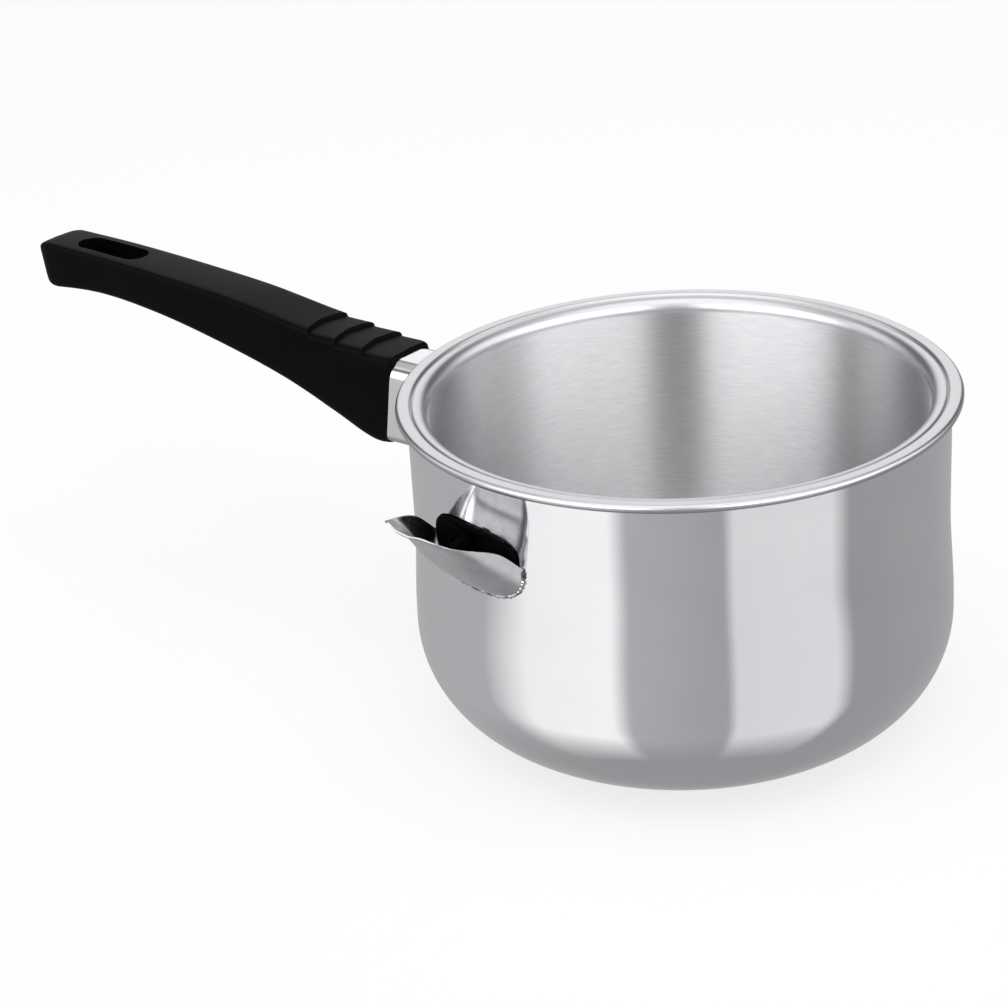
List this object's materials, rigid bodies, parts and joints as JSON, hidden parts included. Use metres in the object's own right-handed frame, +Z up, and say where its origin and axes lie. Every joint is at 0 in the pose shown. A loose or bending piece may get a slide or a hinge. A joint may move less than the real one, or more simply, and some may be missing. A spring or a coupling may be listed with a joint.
{
  "type": "double boiler",
  "caption": "Double-walled stainless simmer pot with a water jacket, a filler scoop closed by a plug, a hemmed pouring rim and a long moulded handle on a steel ferrule.",
  "frame": {"origin": "centre of the flat base, on the surface that the pot stands on", "axes": "+Z up along the pot's axis; the handle points along -X and the filler scoop roughly along -Y"},
  "size_m": [0.3799, 0.2013, 0.1156],
  "materials": {
    "brushed_steel": "circumferentially brushed stainless steel",
    "polished_steel": "mirror polished stainless steel",
    "black_phenolic": "satin moulded phenolic",
    "zinc_steel": "zinc plated steel"
  },
  "bodies": {
    "pot": {"inner_pot": "brushed_steel", "outer_shell": "polished_steel", "filler_spout": "polished_steel", "ferrule": "polished_steel", "handle_grip": "black_phenolic", "handle_bracket": "zinc_steel", "bracket_nut": "zinc_steel", "screw_washer": "zinc_steel", "handle_screw": "zinc_steel"},
    "plug": {"filler_plug": "black_phenolic"}
  },
  "joints": [
    {"name": "plug_pull", "type": "slide", "parent": "pot", "child": "plug", "axis": [-0.1336, -0.6287, 0.766], "range_m": [0, 0.042]}
  ]
}
